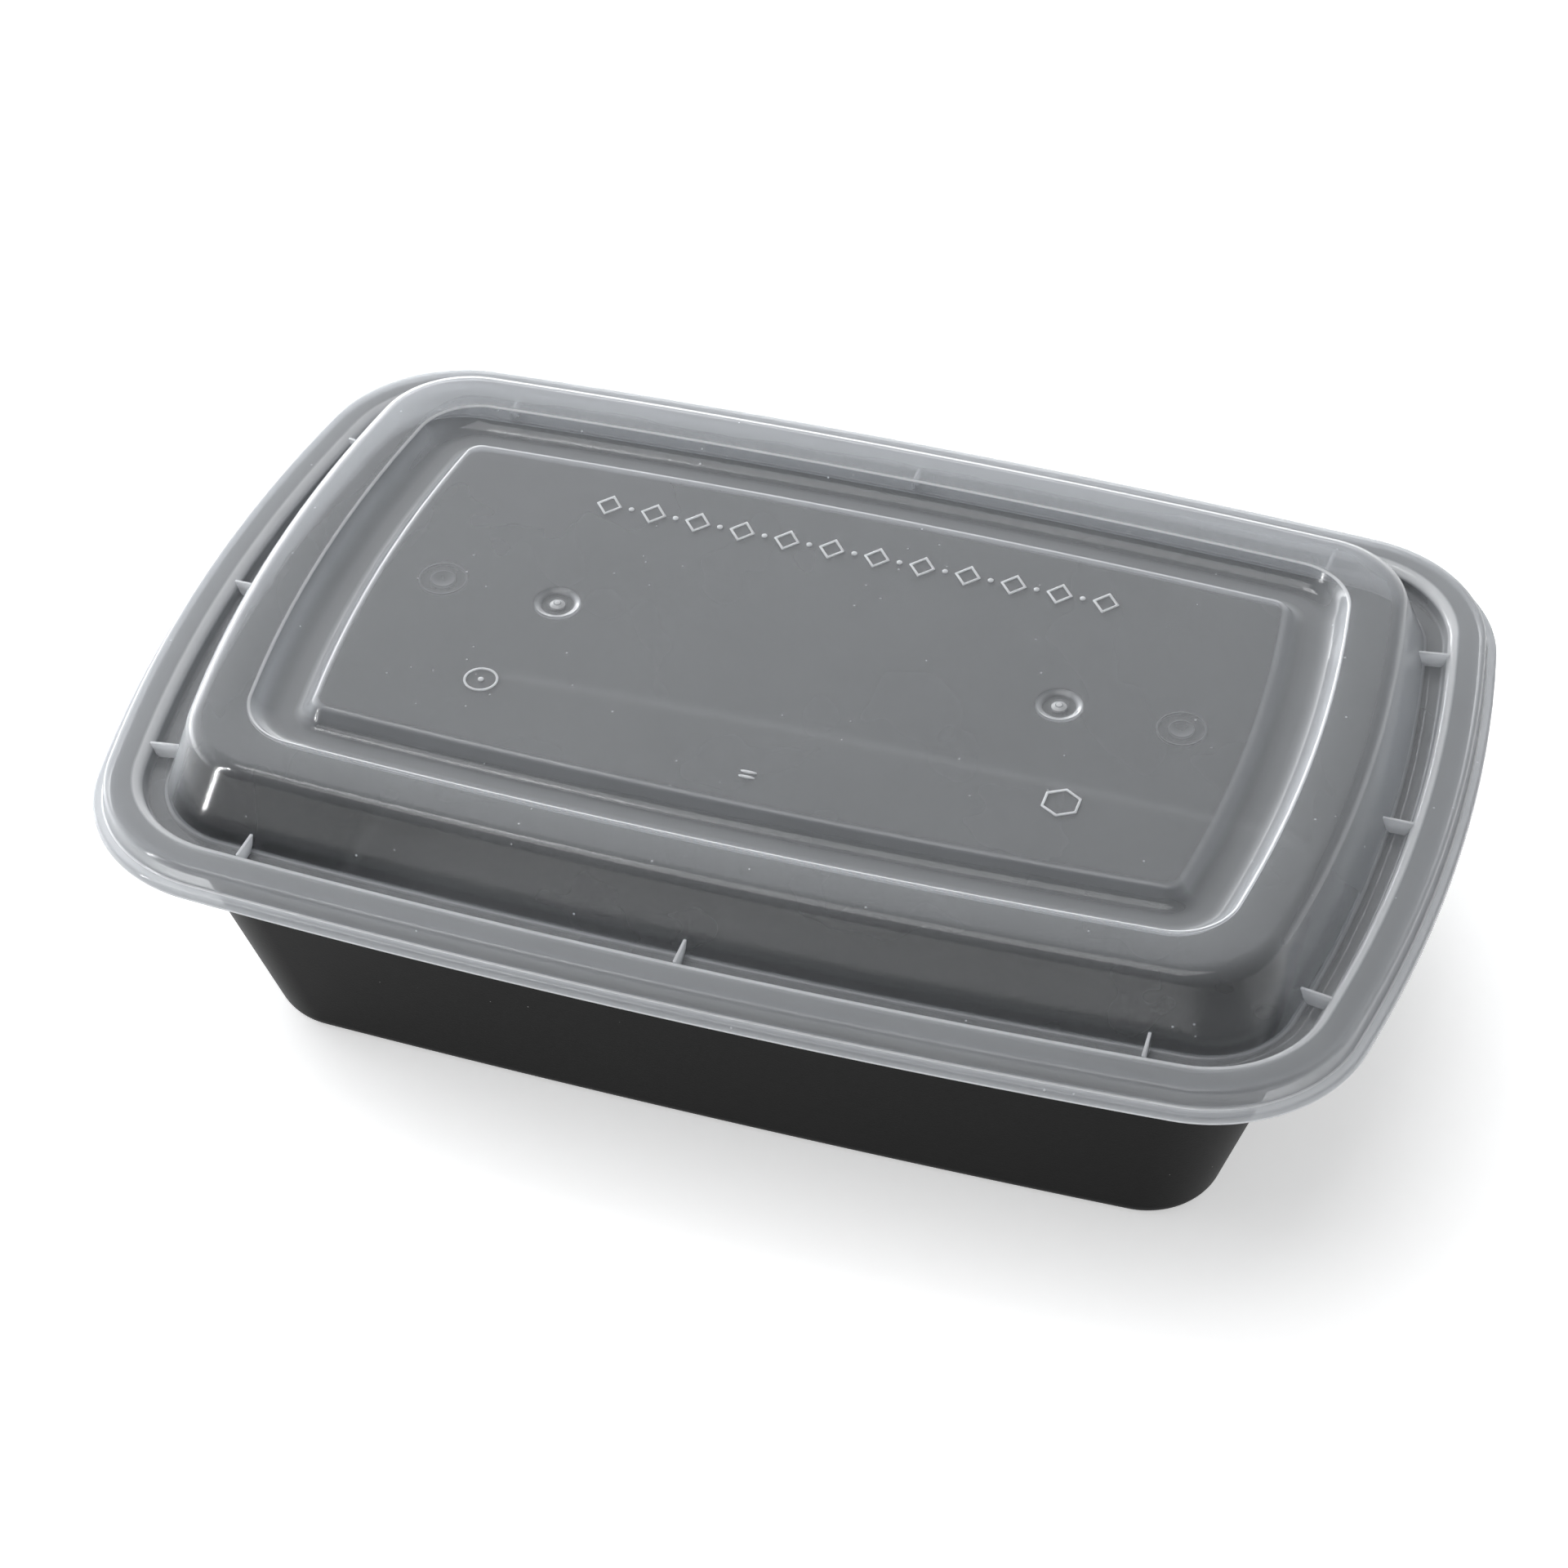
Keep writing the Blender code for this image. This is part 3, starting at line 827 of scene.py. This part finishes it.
class Finish:
    """A material, or the studio's surroundings, being put together from shader nodes."""

    def __init__(self, owner):
        self.owner = owner
        owner.use_nodes = True
        self.tree = owner.node_tree
        self.tree.nodes.clear()

    def part(self, kind, settings=None, inputs=None, output=0):
        """Adds a node: its settings first, then the values or links of its sockets."""
        node = self.tree.nodes.new(kind)
        for name, value in (settings or {}).items():
            setattr(node, name, value)
        for name, value in (inputs or {}).items():
            if isinstance(value, Signal):
                self.tree.links.new(value.socket, node.inputs[name])
            else:
                node.inputs[name].default_value = value
        return Signal(self, node.outputs[output]) if len(node.outputs) else None

    def places(self):
        """Where a point lies on the object, in metres."""
        return self.part("ShaderNodeTexCoord", output="Object")

    def stretched(self, scale):
        return self.part("ShaderNodeMapping", {}, {"Vector": self.places(), "Scale": scale})

    def noise(self, scale, detail=2.0, vector=None):
        inputs = {"Vector": vector or self.places(), "Scale": scale, "Detail": detail}
        return self.part("ShaderNodeTexNoise", {}, inputs)

    def mix_colour(self, share, first, second):
        inputs = {0: share, 6: first, 7: second}
        return self.part("ShaderNodeMix", {"data_type": "RGBA"}, inputs, output=2)

    def mix_shader(self, share, first, second):
        return self.part("ShaderNodeMixShader", {}, {0: share, 1: first, 2: second})

    def bump(self, height, strength, distance):
        inputs = {"Height": height, "Strength": strength, "Distance": distance}
        return self.part("ShaderNodeBump", {}, inputs)

    def finish_with(self, shader):
        self.part("ShaderNodeOutputMaterial", {}, {"Surface": shader})
        return self.owner


def specks(finish, cells, radius, share):
    """Sparse round specks: 1 inside one, 0 elsewhere."""
    inputs = {"Vector": finish.places(), "Scale": cells}
    distance = finish.part("ShaderNodeTexVoronoi", {"feature": "F1"}, inputs, output="Distance")
    shade = distance.twin("Color")
    chosen = finish.part("ShaderNodeSeparateColor", {}, {"Color": shade}, output="Red") < share
    return (distance < radius * cells) * chosen


def scattering(finish, tint, normal):
    """Light thrown back by the milk in the plastic, and a little more of it let through."""
    front = finish.part("ShaderNodeBsdfDiffuse", {}, {"Color": tint, "Normal": normal})
    back = finish.part("ShaderNodeBsdfTranslucent", {}, {"Color": tint, "Normal": normal})
    return finish.mix_shader(LET_THROUGH, front, back)


def milky_plastic(name):
    """Thin translucent plastic: clear seen straight on, milkier at a slant, and milkier and whiter
    along its folds, where the white is partly a painted highlight.
    """
    finish = Finish(bpy.data.materials.new(name))
    slant = finish.part("ShaderNodeLayerWeight", {}, {"Blend": 0.5}, output="Facing")
    straight = (1.0 - slant).at_least(LEAST_STRAIGHT)
    milk_and_highlight = finish.part("ShaderNodeAttribute", {"attribute_name": "milk_and_highlight"}, output="Fac")
    cloud = finish.noise(55.0)
    opacity = BARE_OPACITY + milk_and_highlight * (MILK_OPACITY + cloud * CLOUD_OPACITY)
    cover = 1.0 - (1.0 - opacity).at_least(LEAST_CLEAR) ** (1.0 / straight**SLANT_POWER)
    cover = cover + specks(finish, cells=260.0, radius=0.2 * MM, share=0.4) * SPECK_OPACITY
    # Where the milk is high, the scattered light turns from the hazy tint to the white one; along the
    # folds this white is partly a painted highlight.
    settings = {"interpolation_type": "SMOOTHSTEP"}
    inputs = {"Value": milk_and_highlight, "From Min": WHITENS_FROM, "From Max": WHITE_FROM}
    white_milk_and_highlight = finish.part("ShaderNodeMapRange", settings, inputs)
    waves = finish.noise(45.0, detail=1.0)
    normal = finish.bump(waves, strength=0.015, distance=0.3 * MM)
    hazy = scattering(finish, HAZY, normal)
    white = scattering(finish, WHITE, normal)
    scattered = finish.mix_shader(white_milk_and_highlight, hazy, white)
    clear = finish.part("ShaderNodeBsdfTransparent", {}, {"Color": CLEAR})
    body = finish.mix_shader(cover, clear, scattered)
    inputs = {"Roughness": GLOSS_ROUGHNESS, "Normal": normal}
    gloss = finish.part("ShaderNodeBsdfGlossy", {}, inputs)
    sheen = STRAIGHT_SHEEN + (1.0 - STRAIGHT_SHEEN) * slant**5.0
    return finish.finish_with(finish.mix_shader(sheen, body, gloss))


def satin_black(name, roughness, sheen):
    """Black moulded plastic with a fine spark-eroded texture, and how rough and how shiny it is."""
    finish = Finish(bpy.data.materials.new(name))
    cloud = finish.noise(40.0)
    grain = finish.noise(2600.0, detail=3.0)
    drag = finish.noise(1.0, detail=3.0, vector=finish.stretched((160.0, 160.0, 900.0)))
    dust = specks(finish, cells=300.0, radius=0.12 * MM, share=0.35)
    shade = finish.mix_colour(cloud, (0.004, 0.004, 0.004, 1.0), (0.007, 0.007, 0.0071, 1.0))
    colour = finish.mix_colour(dust, shade, (0.20, 0.20, 0.20, 1.0))
    normal = finish.bump(grain + drag * 0.3, strength=0.3, distance=0.05 * MM)
    inputs = {
        "Base Color": colour,
        "Roughness": roughness + cloud * 0.08,
        "Specular IOR Level": sheen,
        "Normal": normal,
    }
    shader = finish.part("ShaderNodeBsdfPrincipled", {}, inputs)
    return finish.finish_with(shader)


def pale_floor(name):
    """A plain white table that is lit from below as well, as in a studio for packshots."""
    finish = Finish(bpy.data.materials.new(name))
    grain = finish.noise(30.0)
    white = finish.mix_colour(grain, (0.86, 0.86, 0.86, 1.0), (0.88, 0.88, 0.88, 1.0))
    inputs = {
        "Base Color": white,
        "Roughness": 0.9,
        "Emission Color": (1.0, 1.0, 1.0, 1.0),
        "Emission Strength": 0.52,
    }
    shader = finish.part("ShaderNodeBsdfPrincipled", {}, inputs)
    return finish.finish_with(shader)


def hand_in(piece):
    """Says what a finished piece moves with."""
    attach(piece, "root")


def make_floor():
    bpy.ops.object.select_all(action="DESELECT")
    bpy.ops.mesh.primitive_plane_add(size=12.0, location=(0.0, 0.0, -0.05 * MM))
    floor = bpy.context.object
    floor.name = "floor"
    floor.data.materials.append(pale_floor("pale_floor"))


def add_softbox(name, place, target, width, height, power):
    """A flat rectangular lamp that faces target."""
    data = bpy.data.lights.new(name, "AREA")
    data.shape = "RECTANGLE"
    data.size = width
    data.size_y = height
    data.energy = power
    lamp = bpy.data.objects.new(name, data)
    bpy.context.scene.collection.objects.link(lamp)
    lamp.location = place
    direction = Vector(target) - Vector(place)
    lamp.rotation_euler = direction.to_track_quat("-Z", "Y").to_euler()
    return lamp


def make_surroundings():
    """A bright studio, brightest behind the container and to its left, most of all low down."""
    world = Finish(bpy.data.worlds.new("studio"))
    direction = world.part("ShaderNodeTexCoord", output="Generated")
    height = world.part("ShaderNodeSeparateXYZ", {}, {"Vector": direction}, output="Z")
    settings = {"operation": "DOT_PRODUCT"}
    inputs = {0: direction, 1: Vector(GLOW_FROM).normalized()}
    towards = world.part("ShaderNodeVectorMath", settings, inputs, output="Value")
    glow = towards.at_least(0.0) ** 3.0
    low = (1.0 - height).at_least(0.0) ** 8.0
    settings = {"interpolation_type": "SMOOTHSTEP"}
    inputs = {"Value": height, "From Min": 0.69, "From Max": 0.80, "To Min": 1.0, "To Max": 0.2}
    window = world.part("ShaderNodeMapRange", settings, inputs)
    strength = DIM_LIGHT + glow * (GLOW + low * LOW_GLOW) * window
    inputs = {"Color": (0.975, 0.988, 1.0, 1.0), "Strength": strength}
    shader = world.part("ShaderNodeBackground", {}, inputs)
    world.part("ShaderNodeOutputWorld", {}, {"Surface": shader})
    return world.owner


def make_light():
    """Two soft lamps overhead, and a thin one low on the left that shows only as a reflection."""
    add_softbox("overhead", (-0.15, -0.4, 1.6), MIDDLE, width=1.1, height=1.1, power=11.0)
    add_softbox("key", (-0.66, 0.08, 1.6), MIDDLE, width=0.4, height=0.4, power=4.0)
    strip = add_softbox(
        "left_strip", STRIP_PLACE, STRIP_TARGET, width=0.006, height=0.28, power=0.8
    )
    strip.visible_camera = False
    strip.visible_diffuse = False
    bpy.context.scene.world = make_surroundings()


def make_camera():
    back = Vector(
        (
            math.sin(CAMERA_AZIMUTH) * math.cos(CAMERA_ELEVATION),
            -math.cos(CAMERA_AZIMUTH) * math.cos(CAMERA_ELEVATION),
            math.sin(CAMERA_ELEVATION),
        )
    )
    level = Vector((math.cos(CAMERA_AZIMUTH), math.sin(CAMERA_AZIMUTH), 0.0))
    upright = back.cross(level)
    right = level * math.cos(CAMERA_ROLL) + upright * math.sin(CAMERA_ROLL)
    up = upright * math.cos(CAMERA_ROLL) - level * math.sin(CAMERA_ROLL)
    place = back * CAMERA_DISTANCE + right * CAMERA_RIGHT + up * CAMERA_UP
    place.z -= CAMERA_DROP
    data = bpy.data.cameras.new("camera")
    data.sensor_width = SENSOR
    data.lens = FOCAL_PIXELS * SENSOR / IMAGE_PIXELS
    data.clip_start = 0.01
    data.clip_end = 20.0
    camera = bpy.data.objects.new("camera", data)
    bpy.context.scene.collection.objects.link(camera)
    axes = Matrix((right, up, back)).transposed().to_4x4()
    camera.matrix_world = Matrix.Translation(place) @ axes
    bpy.context.scene.camera = camera


def main():
    lid_plastic = milky_plastic("translucent_lid")
    lid = make_lid()
    ribs = make_ribs()
    marks = make_marks()
    tray = make_tray()
    for piece in (lid, ribs, marks):
        piece.data.materials.append(lid_plastic)
        hand_in(piece)
    hand_in(tray)
    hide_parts("lid")
    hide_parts("tray")
    make_floor()
    make_light()
    make_camera()
    bpy.context.scene.view_settings.view_transform = "Standard"
    settings = bpy.context.scene.cycles
    settings.sampling_pattern = "TABULATED_SOBOL"
    settings.max_bounces = 5
    settings.diffuse_bounces = 2
    settings.glossy_bounces = 3
    settings.transmission_bounces = 3
    settings.transparent_max_bounces = 24


main()
